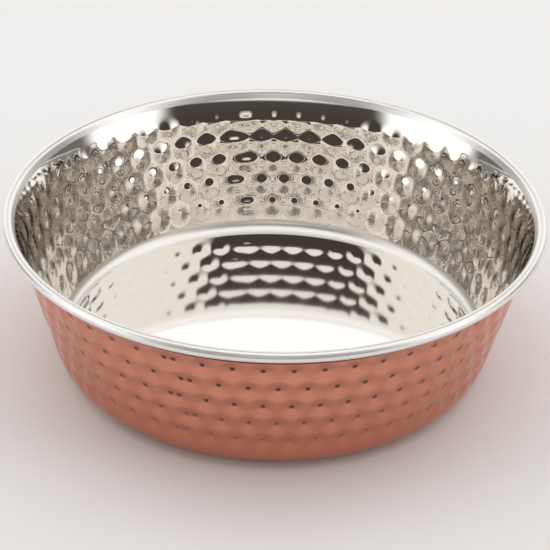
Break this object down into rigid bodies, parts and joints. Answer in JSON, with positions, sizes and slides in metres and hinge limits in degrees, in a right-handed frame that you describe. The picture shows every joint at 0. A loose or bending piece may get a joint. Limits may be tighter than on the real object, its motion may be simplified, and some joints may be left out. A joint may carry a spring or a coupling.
{
  "type": "hammered bowl",
  "caption": "Low, wide hammered bowl of two plies: a steel liner with an outward rolled bead rim, a copper outer shell and a rubber ring under the base.",
  "frame": {"origin": "centre of the plane the bowl stands on, which is the underside of the rubber ring", "axes": "+Z is the bowl's axis, up out of its mouth; the staggered hammer marks make +X and +Y alike, and the bowl has no front"},
  "size_m": [0.2098, 0.2098, 0.064],
  "materials": {
    "mirror_steel": "mirror-polished stainless steel with hammered bumps and a faint warm tint",
    "polished_copper": "polished copper, hammered, softly reflecting",
    "black_rubber": "matt moulded rubber"
  },
  "bodies": {
    "root": {"steel_liner": "mirror_steel", "copper_shell": "polished_copper", "nonslip_ring": "black_rubber"}
  },
  "joints": []
}
